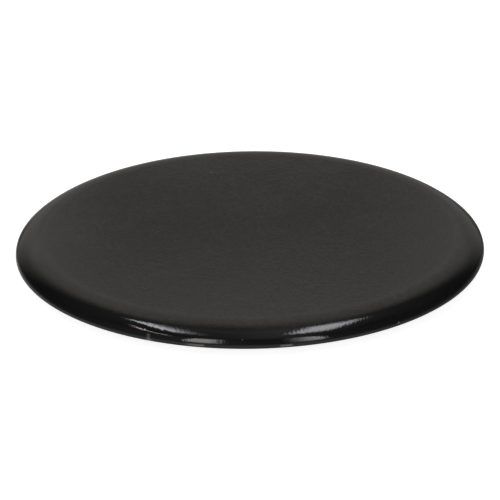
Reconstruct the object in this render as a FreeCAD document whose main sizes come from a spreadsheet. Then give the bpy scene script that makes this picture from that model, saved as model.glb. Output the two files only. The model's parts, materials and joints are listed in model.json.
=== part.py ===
"""Cap of a gas hob burner: one enamelled steel disc with a locating ring under it.

The cap lies loose on the burner's flame spreader. Its flat underside closes the tops of the flame
slots, and the ring under it drops into the spreader's mouth and keeps the cap central. The flat top
falls away in a broad shoulder and ends in a rounded rim.

Frame: millimetres, +Z up, the cap's axis on Z, the toe of the locating ring on Z = 0.
"""

import FreeCAD, Part
import math
import os

import Sketcher

# Driving dimensions in millimetres: alias, value, what it measures.
SIZES = [
    ("cap_diameter", 100.0, "over the rim"),
    ("plate_thickness", 4.0, "underside to the flat top"),
    ("shoulder_width", 6.0, "edge of the flat top to the rim"),
    ("nose_radius", 2.0, "rim, above its widest line"),
    ("foot_radius", 0.5, "rim, below its widest line"),
    ("ring_diameter", 75.0, "outside of the locating ring"),
    ("ring_wall", 2.5, "wall of the locating ring"),
    ("ring_height", 3.0, "locating ring below the underside"),
    ("toe_chamfer", 0.5, "lead-in on both edges of the ring's toe"),
]

# Ends and middle of a sketch's edge, and the sketch's own origin and upright axis.
START, END, CENTRE = 1, 2, 3
ORIGIN = -1
UPRIGHT = -2

SAME_PLACE = 1e-4


def make_sheet(doc):
    """Writes the driving dimensions to a spreadsheet, one row each."""
    sheet = doc.addObject("Spreadsheet::Sheet", "Sizes")
    for row, (alias, value, meaning) in enumerate(SIZES, start=1):
        sheet.set(f"A{row}", alias)
        sheet.set(f"B{row}", str(value))
        sheet.set(f"C{row}", meaning)
        sheet.setAlias(f"B{row}", alias)
    doc.recompute()
    return sheet


def origin_feature(body, role):
    """One of the body's own origin planes or axes."""
    return next(f for f in body.Origin.OriginFeatures if f.Role == role)


def upright_sketch(body, name):
    """A sketch on the body's XZ plane, where x is the radius and y is the height."""
    sketch = body.newObject("Sketcher::SketchObject", name)
    sketch.AttachmentSupport = [(origin_feature(body, "XZ_Plane"), "")]
    sketch.MapMode = "FlatFace"
    return sketch


def point(radius, height):
    return FreeCAD.Vector(radius, height, 0)


def arc(centre, start, end):
    """An arc that runs anticlockwise from start to end."""
    first = math.atan2(start.y - centre.y, start.x - centre.x)
    last = math.atan2(end.y - centre.y, end.x - centre.x)
    circle = Part.Circle(centre, FreeCAD.Vector(0, 0, 1), centre.distanceToPoint(start))
    return Part.ArcOfCircle(circle, first, last)


def bind(sketch, name, value, expression, kind, *places):
    """Adds a dimension to the sketch at its present value and ties it to the spreadsheet."""
    index = sketch.addConstraint(Sketcher.Constraint(kind, *places, value))
    sketch.renameConstraint(index, name)
    sketch.setExpression(f"Constraints.{name}", expression)


def shoulder_centre(start, nose_centre, nose_radius):
    """Centre of the arc that leaves the flat top at start and runs tangent into the nose."""
    reach = nose_centre - start
    radius = (nose_radius**2 - reach.Length**2) / (2 * (reach.y + nose_radius))
    return point(start.x, start.y - radius)


def plate_section(body, sheet):
    """Half of the disc's section: flat top, shoulder, nose and foot arcs, then the flat underside."""
    rim = sheet.cap_diameter / 2
    width = sheet.shoulder_width
    nose_radius = sheet.nose_radius
    foot_radius = sheet.foot_radius
    underside = sheet.ring_height
    top = underside + sheet.plate_thickness
    widest = underside + foot_radius

    shoulder_start = point(rim - width, top)
    nose_centre = point(rim - nose_radius, widest)
    foot_centre = point(rim - foot_radius, widest)
    broad_centre = shoulder_centre(shoulder_start, nose_centre, nose_radius)
    nose_start = nose_centre + (nose_centre - broad_centre).normalize() * nose_radius
    foot_end = point(foot_centre.x, underside)

    sketch = upright_sketch(body, "PlateSection")
    upper = sketch.addGeometry(Part.LineSegment(point(0, top), shoulder_start))
    shoulder = sketch.addGeometry(arc(broad_centre, nose_start, shoulder_start))
    nose = sketch.addGeometry(arc(nose_centre, point(rim, widest), nose_start))
    foot = sketch.addGeometry(arc(foot_centre, foot_end, point(rim, widest)))
    lower = sketch.addGeometry(Part.LineSegment(foot_end, point(0, underside)))
    axis = sketch.addGeometry(Part.LineSegment(point(0, underside), point(0, top)))

    for places in [
        ("Tangent", upper, END, shoulder, END),
        ("Tangent", shoulder, START, nose, END),
        ("Tangent", nose, START, foot, END),
        ("Tangent", foot, START, lower, START),
        ("Coincident", lower, END, axis, START),
        ("Coincident", axis, END, upper, START),
        ("PointOnObject", axis, START, UPRIGHT),
        ("PointOnObject", axis, END, UPRIGHT),
        ("Horizontal", upper),
        ("Horizontal", lower),
        ("Horizontal", nose, CENTRE, nose, START),
    ]:
        sketch.addConstraint(Sketcher.Constraint(*places))
    thickness = top - underside
    bind(sketch, "rim", rim, "Sizes.cap_diameter / 2", "DistanceX", ORIGIN, START, nose, START)
    bind(sketch, "underside", underside, "Sizes.ring_height", "DistanceY", ORIGIN, START, axis, START)
    bind(sketch, "thickness", thickness, "Sizes.plate_thickness", "DistanceY", axis, START, axis, END)
    bind(sketch, "shoulder", width, "Sizes.shoulder_width", "DistanceX", upper, END, nose, START)
    bind(sketch, "nose", nose_radius, "Sizes.nose_radius", "Radius", nose)
    bind(sketch, "foot", foot_radius, "Sizes.foot_radius", "Radius", foot)
    return sketch


def ring_section(body, sheet):
    """Half of the locating ring's section, a bar that is rooted half-way into the disc."""
    outer = sheet.ring_diameter / 2
    inner = outer - sheet.ring_wall
    rooted = sheet.ring_height + sheet.plate_thickness / 2
    corners = [point(inner, 0), point(outer, 0), point(outer, rooted), point(inner, rooted)]

    sketch = upright_sketch(body, "RingSection")
    sides = [
        sketch.addGeometry(Part.LineSegment(corner, corners[(i + 1) % len(corners)]))
        for i, corner in enumerate(corners)
    ]
    toe, outside, buried, inside = sides
    for i, side in enumerate(sides):
        following = sides[(i + 1) % len(sides)]
        sketch.addConstraint(Sketcher.Constraint("Coincident", side, END, following, START))
    for side in (toe, buried):
        sketch.addConstraint(Sketcher.Constraint("Horizontal", side))
    for side in (outside, inside):
        sketch.addConstraint(Sketcher.Constraint("Vertical", side))
    sketch.addConstraint(Sketcher.Constraint("Horizontal", ORIGIN, START, toe, START))
    rooting = "Sizes.ring_height + Sizes.plate_thickness / 2"
    bind(sketch, "outside", outer, "Sizes.ring_diameter / 2", "DistanceX", ORIGIN, START, toe, END)
    bind(sketch, "wall", outer - inner, "Sizes.ring_wall", "DistanceX", toe, START, toe, END)
    bind(sketch, "rooted", rooted, rooting, "DistanceY", outside, START, outside, END)
    return sketch


def turn(body, sketch, name):
    """Turns a section once round the cap's axis."""
    turned = body.newObject("PartDesign::Revolution", name)
    turned.Profile = sketch
    turned.ReferenceAxis = (origin_feature(body, "Z_Axis"), [""])
    turned.Angle = 360.0
    body.Document.recompute()
    return turned


def circles(shape, radii, height):
    """Names of the shape's round edges that have one of the radii and lie at the height."""
    found = []
    for number, edge in enumerate(shape.Edges, start=1):
        if not isinstance(edge.Curve, Part.Circle):
            continue
        level = abs(edge.Curve.Center.z - height) < SAME_PLACE
        if level and any(abs(edge.Curve.Radius - radius) < SAME_PLACE for radius in radii):
            found.append(f"Edge{number}")
    return found


def chamfer_toe(body, ring, sheet):
    """Breaks both edges of the ring's toe, so that it finds its way into the spreader."""
    outer = sheet.ring_diameter / 2
    edges = circles(ring.Shape, (outer, outer - sheet.ring_wall), 0.0)
    if len(edges) != 2:
        raise RuntimeError(f"the ring's toe has {len(edges)} edges, not 2")
    chamfer = body.newObject("PartDesign::Chamfer", "RingToe")
    chamfer.Base = (ring, edges)
    chamfer.setExpression("Size", "Sizes.toe_chamfer")
    body.Document.recompute()


def make_burner_cap(doc, sheet):
    body = doc.addObject("PartDesign::Body", "BurnerCap")
    body.Label = "burner_cap"
    turn(body, plate_section(body, sheet), "Plate")
    ring = turn(body, ring_section(body, sheet), "LocatingRing")
    chamfer_toe(body, ring, sheet)
    return body


def check(doc, pieces):
    """Stops if a feature failed, a sketch is loose or a piece is not one sound solid."""
    for item in doc.Objects:
        if {"Invalid", "Error"} & set(item.State):
            raise RuntimeError(f"{item.Label} failed: {item.State}")
        if item.isDerivedFrom("Sketcher::SketchObject") and not item.FullyConstrained:
            raise RuntimeError(f"{item.Label} is not fully constrained")
    for piece in pieces:
        shape = piece.Shape
        if shape.isNull() or not shape.isValid() or len(shape.Solids) != 1:
            raise RuntimeError(f"{piece.Label} is not one sound solid")


def main():
    doc = FreeCAD.newDocument("BurnerCap")
    sheet = make_sheet(doc)
    pieces = [make_burner_cap(doc, sheet)]
    doc.recompute()
    check(doc, pieces)
    os.makedirs("parts", exist_ok=True)
    for piece in pieces:
        piece.Shape.exportStep(f"parts/{piece.Label}.step")
        box = piece.Shape.optimalBoundingBox()
        print(
            f"{piece.Label}: {box.XLength:.3f} x {box.YLength:.3f} x {box.ZLength:.3f} mm, "
            f"{piece.Shape.Volume / 1000:.3f} cm3"
        )


main()
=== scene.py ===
import json
import math
from typing import NamedTuple

import bpy
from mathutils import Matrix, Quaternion, Vector


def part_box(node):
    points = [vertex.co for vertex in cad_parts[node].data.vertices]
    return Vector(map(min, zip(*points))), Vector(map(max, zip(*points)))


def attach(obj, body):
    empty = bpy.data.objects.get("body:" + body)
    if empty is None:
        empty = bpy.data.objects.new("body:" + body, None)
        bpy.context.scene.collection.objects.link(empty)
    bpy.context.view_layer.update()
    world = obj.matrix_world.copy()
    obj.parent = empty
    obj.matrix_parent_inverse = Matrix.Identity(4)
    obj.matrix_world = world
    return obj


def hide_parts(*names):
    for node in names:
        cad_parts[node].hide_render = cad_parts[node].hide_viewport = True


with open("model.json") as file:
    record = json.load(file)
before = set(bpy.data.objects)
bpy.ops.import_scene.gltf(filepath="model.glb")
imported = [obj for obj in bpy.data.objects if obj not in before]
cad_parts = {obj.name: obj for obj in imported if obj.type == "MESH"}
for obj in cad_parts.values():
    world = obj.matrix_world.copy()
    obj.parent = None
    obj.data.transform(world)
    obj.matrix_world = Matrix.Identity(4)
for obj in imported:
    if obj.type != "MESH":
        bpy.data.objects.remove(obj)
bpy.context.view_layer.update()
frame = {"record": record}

# The cap is one disc of steel with a flat top, a broad shoulder, a rounded rim and a locating ring below.
# It is dipped in black vitreous enamel and fired, which rounds every edge and leaves a fine orange peel.
# It lies loose on the burner's flame spreader, and the ring keeps it central.
MM = 0.001
low_corner, high_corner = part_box("burner_cap")
mounts = {mount["name"]: mount for mount in frame["record"]["mounts"]}
RIM = high_corner.x
TOP = high_corner.z
TOE = low_corner.z
UNDERSIDE = mounts["seat"]["pos_m"][2]
SHOULDER_WIDTH = 6.0 * MM
NOSE_RADIUS = 2.0 * MM
FOOT_RADIUS = 0.5 * MM
RING_OUTSIDE = mounts["locating_ring"]["dims"]["r_mm"] * MM
RING_WALL = 2.5 * MM
RING_INSIDE = RING_OUTSIDE - RING_WALL
TOE_ROUNDING = 0.5 * MM
ROOT_FILLET = 0.5 * MM

# The enamel eases the start of the shoulder, up to where its arc has turned by this many degrees.
SOFT_TURN = 12.0
SOFT_POWER = 4

STEPS_ROUND = 320
STEPS_SOFT = 10
STEPS_SHOULDER = 12
STEPS_NOSE = 16
STEPS_SMALL = 6

# Circles of points across the flat faces, as shares of the way outwards.
TOP_CIRCLES = (0.2, 0.4, 0.6, 0.75, 0.87, 0.95)
SEAT_CIRCLES = (0.8, 0.5, 0.25)
ROOF_CIRCLES = (0.85, 0.65, 0.45, 0.25)


def along_arc(centre, radius, first, last, steps):
    """Points of an arc in the cap's section, from one angle to another in degrees."""
    points = []
    for step in range(steps + 1):
        angle = math.radians(first + (last - first) * step / steps)
        points.append((centre[0] + radius * math.cos(angle), centre[1] + radius * math.sin(angle)))
    return points


def soft_start(flat_edge, shoulder_radius):
    """Points where the flat top eases into the shoulder's arc, whose slope it has reached at its end."""
    turn = math.radians(SOFT_TURN)
    end = flat_edge + shoulder_radius * math.sin(turn)
    drop = shoulder_radius * (1 - math.cos(turn))
    length = SOFT_POWER * drop / math.tan(turn)
    shares = [step / STEPS_SOFT for step in range(STEPS_SOFT + 1)]
    return [(end - length * (1 - share), TOP - drop * share**SOFT_POWER) for share in shares]


def rim_section():
    """Radius and height of the section from the flat top, over shoulder and nose, to the rim's foot."""
    flat_edge = RIM - SHOULDER_WIDTH
    widest = UNDERSIDE + FOOT_RADIUS
    nose_centre = (RIM - NOSE_RADIUS, widest)
    foot_centre = (RIM - FOOT_RADIUS, widest)
    across = nose_centre[0] - flat_edge
    down = nose_centre[1] - TOP
    shoulder_radius = (NOSE_RADIUS**2 - across**2 - down**2) / (2 * (down + NOSE_RADIUS))
    shoulder_centre = (flat_edge, TOP - shoulder_radius)
    soft_end = 90 - SOFT_TURN
    handover = math.degrees(math.atan2(nose_centre[1] - shoulder_centre[1], across))
    soft = soft_start(flat_edge, shoulder_radius)
    flat_top = [(soft[0][0] * share, TOP) for share in TOP_CIRCLES]
    return (
        flat_top
        + soft
        + along_arc(shoulder_centre, shoulder_radius, soft_end, handover, STEPS_SHOULDER)[1:]
        + along_arc(nose_centre, NOSE_RADIUS, handover, 0, STEPS_NOSE)[1:]
        + along_arc(foot_centre, FOOT_RADIUS, 0, -90, STEPS_SMALL)[1:]
    )


def ring_section():
    """Radius and height of the section from the seat, round the locating ring, to the recess's roof."""
    outer_root = (RING_OUTSIDE + ROOT_FILLET, UNDERSIDE - ROOT_FILLET)
    inner_root = (RING_INSIDE - ROOT_FILLET, UNDERSIDE - ROOT_FILLET)
    outer_toe = (RING_OUTSIDE - TOE_ROUNDING, TOE + TOE_ROUNDING)
    inner_toe = (RING_INSIDE + TOE_ROUNDING, TOE + TOE_ROUNDING)
    seat = [(RING_OUTSIDE + (RIM - RING_OUTSIDE) * share, UNDERSIDE) for share in SEAT_CIRCLES]
    roof = [(RING_INSIDE * share, UNDERSIDE) for share in ROOF_CIRCLES]
    return (
        seat
        + along_arc(outer_root, ROOT_FILLET, 90, 180, STEPS_SMALL)
        + along_arc(outer_toe, TOE_ROUNDING, 0, -90, STEPS_SMALL)
        + along_arc(inner_toe, TOE_ROUNDING, -90, -180, STEPS_SMALL)
        + along_arc(inner_root, ROOT_FILLET, 0, 90, STEPS_SMALL)
        + roof
    )


def circle(radius, height):
    """Points evenly round the Z axis."""
    angles = [2 * math.pi * step / STEPS_ROUND for step in range(STEPS_ROUND)]
    return [(radius * math.cos(angle), radius * math.sin(angle), height) for angle in angles]


def faces_between(first, second):
    """Faces between two circles, each given by the number of its first point."""
    faces = []
    for step in range(STEPS_ROUND):
        following = (step + 1) % STEPS_ROUND
        faces.append((first + step, second + step, second + following, first + following))
    return faces


def turned_mesh(name, section, top, bottom):
    """Turns a section round the Z axis and closes it with a point in the middle of either side."""
    corners = [(0.0, 0.0, top), (0.0, 0.0, bottom)]
    starts = []
    for radius, height in section:
        starts.append(len(corners))
        corners += circle(radius, height)
    faces = []
    for first, second in zip(starts, starts[1:]):
        faces += faces_between(first, second)
    for step in range(STEPS_ROUND):
        following = (step + 1) % STEPS_ROUND
        faces.append((0, starts[0] + step, starts[0] + following))
        faces.append((1, starts[-1] + following, starts[-1] + step))
    mesh = bpy.data.meshes.new(name)
    mesh.from_pydata(corners, [], faces)
    mesh.validate()
    mesh.shade_smooth()
    return mesh


def put(tree, kind, inputs=None, **settings):
    """Adds a node, makes its settings, and gives each named or numbered input a value or a link."""
    made = tree.nodes.new(kind)
    for name, value in settings.items():
        setattr(made, name, value)
    for name, value in (inputs or {}).items():
        if isinstance(value, bpy.types.NodeSocket):
            tree.links.new(value, made.inputs[name])
        else:
            made.inputs[name].default_value = value
    return made


def math_of(tree, operation, *values):
    """The result of a Math node."""
    return put(tree, "ShaderNodeMath", dict(enumerate(values)), operation=operation).outputs[0]


def product(tree, value, *others):
    """Several values multiplied."""
    for other in others:
        value = math_of(tree, "MULTIPLY", value, other)
    return value


def vector_of(tree, operation, inputs, output="Vector"):
    """The result of a Vector Math node."""
    return put(tree, "ShaderNodeVectorMath", inputs, operation=operation).outputs[output]


RISING = (0.0, 1.0)
FALLING = (1.0, 0.0)


def stretched(tree, value, span, result, interpolation="SMOOTHSTEP"):
    """A value carried smoothly from one span to another and held at its ends."""
    inputs = {
        "Value": value,
        "From Min": span[0],
        "From Max": span[1],
        "To Min": result[0],
        "To Max": result[1],
    }
    return put(tree, "ShaderNodeMapRange", inputs, interpolation_type=interpolation).outputs[0]


def between(tree, value, edges, softness):
    """A mask that is 1 between two edges, each with a softness of its own."""
    first, last = edges
    first_soft, last_soft = softness
    risen = stretched(tree, value, (first - first_soft, first + first_soft), RISING)
    fallen = stretched(tree, value, (last - last_soft, last + last_soft), FALLING)
    return product(tree, risen, fallen)


def cloudy(tree, place, size, detail=2.0, roughness=0.5):
    """Noise whose lumps are about the given size in metres."""
    inputs = {"Vector": place, "Scale": 1 / size, "Detail": detail, "Roughness": roughness}
    return put(tree, "ShaderNodeTexNoise", inputs).outputs[0]


# A Mix node's colours go by number, because its other sockets have the same names.
MIX_FIRST = 6
MIX_SECOND = 7
MIX_RESULT = 2


def blended(tree, share, first, second):
    """A colour between two others."""
    inputs = {"Factor": share, MIX_FIRST: first, MIX_SECOND: second}
    return put(tree, "ShaderNodeMix", inputs, data_type="RGBA").outputs[MIX_RESULT]


class Mark(NamedTuple):
    """A small mark in the enamel: its place round the axis, its width, and its height for that width."""

    angle: float
    radius: float
    height: float
    size: float
    tall: float = 1.0


# A mark's uneven edge, as shares of its size: the lumps, their reach, where it is full and where it ends.
MARK_LUMPS = 0.4
MARK_REACH = 0.6
MARK_FULL = 0.4
MARK_END = 0.9


def mask_of(tree, place, mark):
    """A mask of a mark."""
    turned = math.radians(mark.angle)
    middle = (mark.radius * math.cos(turned), mark.radius * math.sin(turned), mark.height)
    away = vector_of(tree, "SUBTRACT", {0: place, 1: middle})
    away = vector_of(tree, "MULTIPLY", {0: away, 1: (1, 1, 1 / mark.tall)})
    distance = vector_of(tree, "LENGTH", {0: away}, "Value")
    lumps = cloudy(tree, place, MARK_LUMPS * mark.size)
    distance = math_of(tree, "ADD", distance, product(tree, lumps, MARK_REACH * mark.size))
    return stretched(tree, distance, (MARK_FULL * mark.size, MARK_END * mark.size), FALLING)


# Grains that were fired in: on the top, at its front edge, on the nose, and on the rim right and left.
GRAINS = [
    Mark(104.5, 33.8 * MM, TOP, 0.80 * MM),
    Mark(-100.4, 45.2 * MM, TOP - 0.1 * MM, 0.30 * MM),
    Mark(-91.9, RIM - 0.6 * MM, UNDERSIDE + 1.9 * MM, 0.35 * MM),
    Mark(-54.0, RIM, UNDERSIDE + 0.9 * MM, 0.60 * MM),
    Mark(-148.7, RIM, UNDERSIDE + 0.8 * MM, 0.50 * MM),
]
GRAIN_GREY = (0.090, 0.090, 0.087, 1)

# A run of enamel down the rim, and the bead where it ended.
RUN = Mark(-113.8, RIM - 0.2 * MM, UNDERSIDE + 1.0 * MM, 1.1 * MM, tall=1.7)
RUN_GREY = (0.060, 0.055, 0.053, 1)
BEAD = Mark(-113.6, RIM, UNDERSIDE + 0.45 * MM, 1.6 * MM, tall=0.4)
BEAD_GREY = GRAIN_GREY

# Two pale lines along the foot of the rim, by angle: a painted highlight that stands in for two small
# glints there.
LEFT_PAINTED_GLINT = (-104.3, -100.6)
LEFT_PAINTED_GLINT_SOFTNESS = (1.3, 0.15)
RIGHT_PAINTED_GLINT = (-83.4, -80.7)
RIGHT_PAINTED_GLINT_SOFTNESS = (0.2, 0.4)
PAINTED_GLINT_HEIGHTS = (UNDERSIDE + 0.40 * MM, UNDERSIDE + 0.82 * MM)
PAINTED_GLINT_HEIGHTS_SOFTNESS = (0.10 * MM, 0.12 * MM)
PAINTED_GLINT_GREY = (0.090, 0.078, 0.073, 1)


def with_marks(tree, place, height, angle, colour):
    """The coat's colour with its grains, its run and the two painted glint lines at the foot laid over it.
    """
    for grain in GRAINS:
        colour = blended(tree, mask_of(tree, place, grain), colour, GRAIN_GREY)
    colour = blended(tree, mask_of(tree, place, RUN), colour, RUN_GREY)
    colour = blended(tree, mask_of(tree, place, BEAD), colour, BEAD_GREY)
    # The pale lines at the foot are a painted highlight, where two small glints show.
    left = between(tree, angle, LEFT_PAINTED_GLINT, LEFT_PAINTED_GLINT_SOFTNESS)
    right = between(tree, angle, RIGHT_PAINTED_GLINT, RIGHT_PAINTED_GLINT_SOFTNESS)
    glint_foot_line = between(tree, height, PAINTED_GLINT_HEIGHTS, PAINTED_GLINT_HEIGHTS_SOFTNESS)
    painted_glints = product(tree, math_of(tree, "ADD", left, right), glint_foot_line)
    return blended(tree, painted_glints, colour, PAINTED_GLINT_GREY)


# The coat is deep black, worn in patches on the top, and thin underneath, up to a ragged line at the foot.
DEEP_BLACK = (0.0042, 0.0042, 0.0042, 1)
WORN_BLACK = (0.0090, 0.0087, 0.0083, 1)
THIN_BLACK = (0.015, 0.013, 0.012, 1)
THIN_BROWN = (0.030, 0.024, 0.020, 1)
PATCH_SIZE = 14.0 * MM
PATCH_SPAN = (0.35, 0.68)
TOP_HEIGHTS = (TOP - 1.2 * MM, TOP - 0.1 * MM)
SPECKLE_SIZE = 0.8 * MM
SPECKLE_SPAN = (0.3, 0.7)
SPECKLE_CONTRAST = 0.85
THIN_HEIGHTS = (UNDERSIDE - 0.1 * MM, UNDERSIDE + 0.1 * MM)
RAGGED_SIZE = 1.2 * MM
RAGGED_REACH = 0.35 * MM


def coat_colour(tree, place, height, patches, on_top):
    """The coat's own colour, with a fine speckle on the top."""
    colour = blended(tree, product(tree, patches, on_top), DEEP_BLACK, WORN_BLACK)
    ragged = cloudy(tree, place, RAGGED_SIZE, detail=3.0)
    ragged_height = math_of(tree, "MULTIPLY_ADD", ragged, -RAGGED_REACH, height)
    thin = stretched(tree, ragged_height, THIN_HEIGHTS, FALLING)
    colour = blended(tree, thin, colour, blended(tree, patches, THIN_BLACK, THIN_BROWN))
    fine = cloudy(tree, place, SPECKLE_SIZE, detail=2.0)
    speckle = stretched(tree, fine, SPECKLE_SPAN, (-SPECKLE_CONTRAST, SPECKLE_CONTRAST))
    speckle = math_of(tree, "MULTIPLY_ADD", speckle, on_top, 1.0)
    return vector_of(tree, "SCALE", {0: colour, "Scale": speckle})


GLOSSY_ROUGHNESS = 0.06
WORN_ROUGHNESS = 0.08
THIN_ROUGHNESS = 0.42
DULL_HEIGHTS = (UNDERSIDE - 0.05 * MM, UNDERSIDE + 0.1 * MM)


def coat_roughness(tree, height, patches, on_top):
    """The coat's roughness: a little more in the worn patches, and dull underneath."""
    above = stretched(tree, product(tree, patches, on_top), (0, 1), (GLOSSY_ROUGHNESS, WORN_ROUGHNESS))
    below = stretched(tree, height, DULL_HEIGHTS, (THIN_ROUGHNESS, 0.0))
    return math_of(tree, "MAXIMUM", above, below)


WAVE_SIZE = 3.0 * MM
WAVE_HEIGHT = 0.007 * MM
PEEL_SIZE = 0.45 * MM
PEEL_HEIGHT = 0.009 * MM


def coat_normal(tree, place):
    """The coat's normal: slow waves with the orange peel on them."""
    waves = cloudy(tree, place, WAVE_SIZE, detail=1.0)
    wavy = put(tree, "ShaderNodeBump", {"Height": waves, "Distance": WAVE_HEIGHT}).outputs["Normal"]
    peel = cloudy(tree, place, PEEL_SIZE, detail=0.0)
    peeled = {"Height": peel, "Distance": PEEL_HEIGHT, "Normal": wavy}
    return put(tree, "ShaderNodeBump", peeled).outputs["Normal"]


ENAMEL_IOR = 1.5


def enamel_material():
    """Black vitreous enamel: glossy, with a fine orange peel, and thin and dull underneath."""
    material = bpy.data.materials.new("black_enamel")
    material.use_nodes = True
    tree = material.node_tree
    shader = tree.nodes["Principled BSDF"]
    place = put(tree, "ShaderNodeTexCoord").outputs["Object"]
    parts = put(tree, "ShaderNodeSeparateXYZ", {"Vector": place}).outputs
    height = parts["Z"]
    angle = math_of(tree, "DEGREES", math_of(tree, "ARCTAN2", parts["Y"], parts["X"]))
    clouds = cloudy(tree, place, PATCH_SIZE, detail=6.0, roughness=0.7)
    patches = stretched(tree, clouds, PATCH_SPAN, RISING)
    on_top = stretched(tree, height, TOP_HEIGHTS, RISING)
    colour = coat_colour(tree, place, height, patches, on_top)
    colour = with_marks(tree, place, height, angle, colour)
    tree.links.new(colour, shader.inputs["Base Color"])
    tree.links.new(coat_roughness(tree, height, patches, on_top), shader.inputs["Roughness"])
    tree.links.new(coat_normal(tree, place), shader.inputs["Normal"])
    shader.inputs["IOR"].default_value = ENAMEL_IOR
    return material


cap_mesh = turned_mesh("enamelled_cap", rim_section() + ring_section(), TOP, UNDERSIDE)
cap_mesh.materials.append(enamel_material())
cap = bpy.data.objects.new("enamelled_cap", cap_mesh)
bpy.context.scene.collection.objects.link(cap)
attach(cap, "root")
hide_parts("burner_cap")

# The floor is a white light table: a plain pale sheet that glows, so that the cap's shadow stays faint.
# The cap mirrors it as lit in a broad strip from front to back. It is clear from below and open inside
# the locating ring, so that the underside can be seen and gets its light.
FLOOR_REACH = 3.0
FLOOR_OPENING = RING_OUTSIDE - 0.3 * MM
FLOOR_WHITE = (0.80, 0.80, 0.795, 1)
FLOOR_ROUGHNESS = 0.5
FLOOR_GLOW = 0.87
GLOW_WHITE = (1, 1, 1, 1)
MIRRORED_TINT = (1.0, 0.985, 0.975, 1)
MIRRORED_DIM = 0.10
MIRRORED_LIT = 0.66
LIT_WIDTH = (-58 * MM, 46 * MM)
LIT_WIDTH_SOFTNESS = (23 * MM, 23 * MM)
LIT_FALL = (RIM + 2 * MM, RIM + 25 * MM)
LIT_FAR_SHARE = 0.7
SHADE_EDGE = (RIM - 2 * MM, RIM + 5 * MM)
SHADE_SHARE = 0.15


def mirrored_level(tree):
    """How bright the cap sees the floor: lit in a broad strip, dim beside it and in the cap's own shade."""
    place = put(tree, "ShaderNodeTexCoord").outputs["Object"]
    parts = put(tree, "ShaderNodeSeparateXYZ", {"Vector": place}).outputs
    from_axis = vector_of(tree, "LENGTH", {0: place}, "Value")
    lit = product(
        tree,
        between(tree, parts["X"], LIT_WIDTH, LIT_WIDTH_SOFTNESS),
        stretched(tree, from_axis, LIT_FALL, (1.0, LIT_FAR_SHARE)),
        stretched(tree, from_axis, SHADE_EDGE, (SHADE_SHARE, 1.0)),
    )
    return stretched(tree, lit, (0, 1), (MIRRORED_DIM, MIRRORED_LIT), "LINEAR")


def floor_material():
    """A glowing white sheet, with a level of its own in the cap's gloss, and clear from below."""
    material = bpy.data.materials.new("light_table")
    material.use_nodes = True
    tree = material.node_tree
    shader = tree.nodes["Principled BSDF"]
    shader.inputs["Base Color"].default_value = FLOOR_WHITE
    shader.inputs["Roughness"].default_value = FLOOR_ROUGHNESS
    shader.inputs["Emission Color"].default_value = GLOW_WHITE
    shader.inputs["Emission Strength"].default_value = FLOOR_GLOW
    mirrored = put(tree, "ShaderNodeEmission", {"Color": MIRRORED_TINT, "Strength": mirrored_level(tree)})
    in_gloss = put(tree, "ShaderNodeLightPath").outputs["Is Glossy Ray"]
    sheet = put(tree, "ShaderNodeMixShader", {0: in_gloss, 1: shader.outputs[0], 2: mirrored.outputs[0]})
    from_below = put(tree, "ShaderNodeNewGeometry").outputs["Backfacing"]
    clear = put(tree, "ShaderNodeBsdfTransparent")
    shown = put(tree, "ShaderNodeMixShader", {0: from_below, 1: sheet.outputs[0], 2: clear.outputs[0]})
    tree.links.new(shown.outputs[0], tree.nodes["Material Output"].inputs["Surface"])
    return material


floor_mesh = bpy.data.meshes.new("floor")
floor_corners = circle(FLOOR_OPENING, TOE) + circle(FLOOR_REACH, TOE)
floor_mesh.from_pydata(floor_corners, [], faces_between(0, STEPS_ROUND))
floor_mesh.materials.append(floor_material())
floor = bpy.data.objects.new("floor", floor_mesh)
bpy.context.scene.collection.objects.link(floor)

# The light is a small studio, drawn by direction: a pale back wall in a dim room, two soft boxes overhead,
# two strip lamps beside the camera and a warm tube on the left. Angles are in degrees, and azimuth 0 is
# straight behind the cap. What hangs overhead is laid out on a level sheet one unit above it.
DARK = (0, 0, 0, 1)
ZENITH = 90.0

# The wall's level by elevation, its shares at this azimuth to either side, and its soft ends.
WALL_TINT = (1.0, 0.968, 0.885, 1)
WALL_LEVELS = [
    (0, 0.27),
    (20, 0.29),
    (23, 0.36),
    (26, 0.385),
    (35, 0.42),
    (45, 0.50),
    (55, 0.54),
    (65, 0.30),
    (75, 0.0),
]
WALL_ASIDE = 60
WALL_ASIDE_SHARE = 0.81
WALL_LEFT_SHARE = 1.21
WALL_RIGHT_SHARE = 0.83
WALL_ENDS = (-36.5, 36.5)
WALL_ENDS_SOFTNESS = (14.5, 12)


class Patch(NamedTuple):
    """A soft-edged patch of the wall, by azimuth and elevation, and its share of the wall's level."""

    across: tuple
    across_softness: tuple
    up: tuple
    up_softness: tuple
    share: float


DIM_MIDDLE = Patch(
    across=(-4.8, 4.7),
    across_softness=(1.65, 2.2),
    up=(21.55, 24.5),
    up_softness=(0.5, 1.6),
    share=0.5,
)
PALE_LEFT = Patch(
    across=(-28, -12),
    across_softness=(5, 2.5),
    up=(13, 25),
    up_softness=(4, 3),
    share=1.17,
)


def level_by_height(tree, elevation, levels):
    """A light level that follows the elevation."""
    ramp = put(tree, "ShaderNodeValToRGB", {0: math_of(tree, "DIVIDE", elevation, ZENITH)})
    stops = ramp.color_ramp.elements
    for number, (degrees, level) in enumerate(levels):
        if number == len(stops):
            stops.new(degrees / ZENITH)
        stops[number].position = degrees / ZENITH
        stops[number].color = (level, level, level, 1)
    return ramp.outputs[0]


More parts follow.
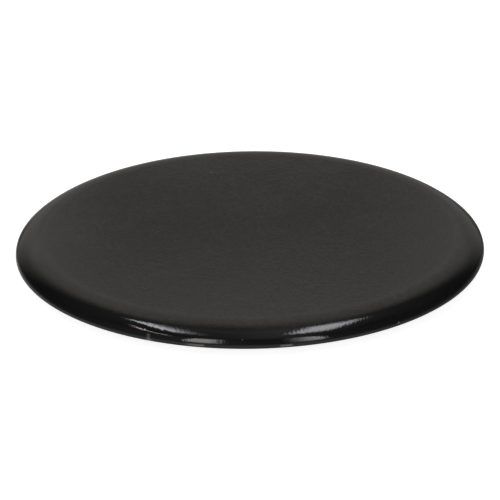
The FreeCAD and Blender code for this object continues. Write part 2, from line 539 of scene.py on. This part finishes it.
def wall_light(tree, azimuth, elevation):
    """The back wall, brightest high up, dimmer to the right and in its middle, and paler on the left."""
    aside = math_of(tree, "ABSOLUTE", azimuth)
    both_ways = (-WALL_ASIDE, WALL_ASIDE)
    level = product(
        tree,
        level_by_height(tree, elevation, WALL_LEVELS),
        stretched(tree, aside, (0, WALL_ASIDE), (1.0, WALL_ASIDE_SHARE), "LINEAR"),
        stretched(tree, azimuth, both_ways, (WALL_LEFT_SHARE, WALL_RIGHT_SHARE), "LINEAR"),
        between(tree, azimuth, WALL_ENDS, WALL_ENDS_SOFTNESS),
    )
    for patch in (DIM_MIDDLE, PALE_LEFT):
        across = between(tree, azimuth, patch.across, patch.across_softness)
        up = between(tree, elevation, patch.up, patch.up_softness)
        inside = product(tree, across, up)
        level = product(tree, level, stretched(tree, inside, (0, 1), (1.0, patch.share), "LINEAR"))
    return blended(tree, level, DARK, WALL_TINT)


# The room's levels, on the left and on the right, with the span of the direction's X between the two, and
# the azimuths to either side and the elevations over which each comes in or goes out.
ROOM_TINT = (0.97, 0.97, 1.0, 1)
ROOM_LEVEL = 0.030
FRONT_LEVELS = (0.155, 0.070)
FRONT_CHANGE = (-0.15, 0.15)
FRONT_AZIMUTHS = (55, 150)
FRONT_DIP_AZIMUTHS = (160, 176)
FRONT_DIP_SHARE = 0.75
FRONT_ELEVATIONS = (40, 65)
CEILING_LEVELS = (0.200, 0.350)
CEILING_CHANGE = (-0.12, 0.12)
CEILING_ELEVATIONS = (50, 85)
CORNERS_LEVEL = 0.080
CORNERS_AZIMUTHS = (40, 80)
CORNERS_SOFTNESS = (15, 15)
CORNERS_ELEVATIONS = (25, 60)
BELOW_LEVELS = (0.55, 0.35)
BELOW_CHANGE = (-1, 1)
BELOW_ELEVATIONS = (-6, -2)


def room_light(tree, right, azimuth, elevation):
    """The dim room: paler round the camera, at the ceiling, high up beside the wall, and from below."""
    aside = math_of(tree, "ABSOLUTE", azimuth)
    front = product(
        tree,
        stretched(tree, right, FRONT_CHANGE, FRONT_LEVELS),
        stretched(tree, aside, FRONT_AZIMUTHS, RISING),
        stretched(tree, aside, FRONT_DIP_AZIMUTHS, (1.0, FRONT_DIP_SHARE)),
        stretched(tree, elevation, FRONT_ELEVATIONS, FALLING),
    )
    ceiling = product(
        tree,
        stretched(tree, right, CEILING_CHANGE, CEILING_LEVELS),
        stretched(tree, elevation, CEILING_ELEVATIONS, RISING),
    )
    corners = product(
        tree,
        between(tree, aside, CORNERS_AZIMUTHS, CORNERS_SOFTNESS),
        stretched(tree, elevation, CORNERS_ELEVATIONS, (0.0, CORNERS_LEVEL)),
    )
    below = product(
        tree,
        stretched(tree, right, BELOW_CHANGE, BELOW_LEVELS),
        stretched(tree, elevation, BELOW_ELEVATIONS, FALLING),
    )
    level = ROOM_LEVEL
    for added in (front, ceiling, corners, below):
        level = math_of(tree, "ADD", added, level)
    return blended(tree, level, DARK, ROOM_TINT)


class Lamp(NamedTuple):
    """A lamp's edges, softness and lean, across and along the sheet it lies on, and its level and tint."""

    across: tuple
    across_softness: tuple
    across_lean: float
    along: tuple
    along_softness: tuple
    along_lean: float
    level: float
    tint: tuple


COOL_WHITE = (0.96, 0.95, 1.0)
NEUTRAL_WHITE = (1.0, 0.98, 1.0)
WARM_WHITE = (1.0, 0.85, 0.80)
LEFT_BOX = Lamp(
    across=(-0.42, -0.405),
    across_softness=(0.012, 0.185),
    across_lean=0.27,
    along=(-0.20, 0.12),
    along_softness=(0.08, 0.045),
    along_lean=0.33,
    level=20.0,
    tint=COOL_WHITE,
)
RIGHT_BOX = Lamp(
    across=(0.20, 0.405),
    across_softness=(0.045, 0.05),
    across_lean=-0.14,
    along=(-0.175, 0.15),
    along_softness=(0.06, 0.085),
    along_lean=-0.23,
    level=6.6,
    tint=COOL_WHITE,
)
WARM_TUBE = Lamp(
    across=(-0.637, -0.607),
    across_softness=(0.004, 0.004),
    across_lean=-0.07,
    along=(-0.60, 0.0),
    along_softness=(0.05, 0.05),
    along_lean=0.0,
    level=12.0,
    tint=WARM_WHITE,
)
LEFT_STRIP = Lamp(
    across=(-165.4, -150.1),
    across_softness=(5.4, 1.4),
    across_lean=-0.075,
    along=(13.0, 53.7),
    along_softness=(9.9, 10.2),
    along_lean=0.0,
    level=4.7,
    tint=NEUTRAL_WHITE,
)
RIGHT_STRIP = Lamp(
    across=(146.2, 156.0),
    across_softness=(2.9, 10.5),
    across_lean=0.06,
    along=(10.8, 52.6),
    along_softness=(12.8, 14.9),
    along_lean=0.0,
    level=5.0,
    tint=NEUTRAL_WHITE,
)


def lit_by(tree, light, lamp, across, along):
    """The light with a lamp in it, where across and along are the two ways on the lamp's sheet."""
    leaning_across = math_of(tree, "MULTIPLY_ADD", along, lamp.across_lean, across)
    leaning_along = math_of(tree, "MULTIPLY_ADD", across, lamp.along_lean, along)
    shape = product(
        tree,
        between(tree, leaning_across, lamp.across, lamp.across_softness),
        between(tree, leaning_along, lamp.along, lamp.along_softness),
    )
    colour = tuple(lamp.level * share for share in lamp.tint) + (1,)
    return blended(tree, shape, light, colour)


BACKDROP_WHITE = (1, 1, 1, 1)
LOWEST_OVERHEAD = 0.3


def studio_world():
    """The studio as the world's light, with a plain white backdrop for the camera."""
    world = bpy.data.worlds.new("studio")
    world.use_nodes = True
    tree = world.node_tree
    way = put(tree, "ShaderNodeTexCoord").outputs["Generated"]
    parts = put(tree, "ShaderNodeSeparateXYZ", {"Vector": way}).outputs
    azimuth = math_of(tree, "DEGREES", math_of(tree, "ARCTAN2", parts["X"], parts["Y"]))
    elevation = math_of(tree, "DEGREES", math_of(tree, "ARCSINE", parts["Z"]))
    raised = math_of(tree, "MAXIMUM", parts["Z"], LOWEST_OVERHEAD)
    sheet_right = math_of(tree, "DIVIDE", parts["X"], raised)
    sheet_back = math_of(tree, "DIVIDE", parts["Y"], raised)

    room = room_light(tree, parts["X"], azimuth, elevation)
    wall = wall_light(tree, azimuth, elevation)
    both = {"Factor": 1.0, MIX_FIRST: room, MIX_SECOND: wall}
    light = put(tree, "ShaderNodeMix", both, data_type="RGBA", blend_type="ADD").outputs[MIX_RESULT]
    for lamp in (LEFT_BOX, RIGHT_BOX, WARM_TUBE):
        light = lit_by(tree, light, lamp, sheet_right, sheet_back)
    for lamp in (LEFT_STRIP, RIGHT_STRIP):
        light = lit_by(tree, light, lamp, azimuth, elevation)

    seen = put(tree, "ShaderNodeLightPath").outputs["Is Camera Ray"]
    shown = blended(tree, seen, light, BACKDROP_WHITE)
    tree.links.new(shown, tree.nodes["Background"].inputs["Color"])
    return world


bpy.context.scene.world = studio_world()

# The camera looks down at the cap with a long lens, turned a little so that the right side stands higher.
# It aims a trace to the right of the middle of the underside, and a little down the picture from it.
CAMERA_ELEVATION = 23.815
CAMERA_DISTANCE = 0.5
CAMERA_ROLL = -0.721
CAMERA_LENS = 167.92
SENSOR_WIDTH = 36.0
NEAREST_SEEN = 0.01
FARTHEST_SEEN = 20.0
AIM_RIGHT = 0.034 * MM
AIM_DOWN = 0.815 * MM
tilt = math.radians(CAMERA_ELEVATION)
stand = Vector((0.0, -CAMERA_DISTANCE * math.cos(tilt), UNDERSIDE + CAMERA_DISTANCE * math.sin(tilt)))
picture_up = Vector((0.0, math.sin(tilt), math.cos(tilt)))
aim = Vector((AIM_RIGHT, 0.0, UNDERSIDE)) - AIM_DOWN * picture_up
lens = bpy.data.cameras.new("camera")
lens.lens = CAMERA_LENS
lens.sensor_width = SENSOR_WIDTH
lens.clip_start = NEAREST_SEEN
lens.clip_end = FARTHEST_SEEN
camera = bpy.data.objects.new("camera", lens)
camera.location = stand
camera.rotation_mode = "QUATERNION"
level_view = (aim - stand).to_track_quat("-Z", "Y")
camera.rotation_quaternion = level_view @ Quaternion((0, 0, 1), math.radians(CAMERA_ROLL))
bpy.context.scene.collection.objects.link(camera)
bpy.context.scene.camera = camera
bpy.context.scene.view_settings.view_transform = "Standard"
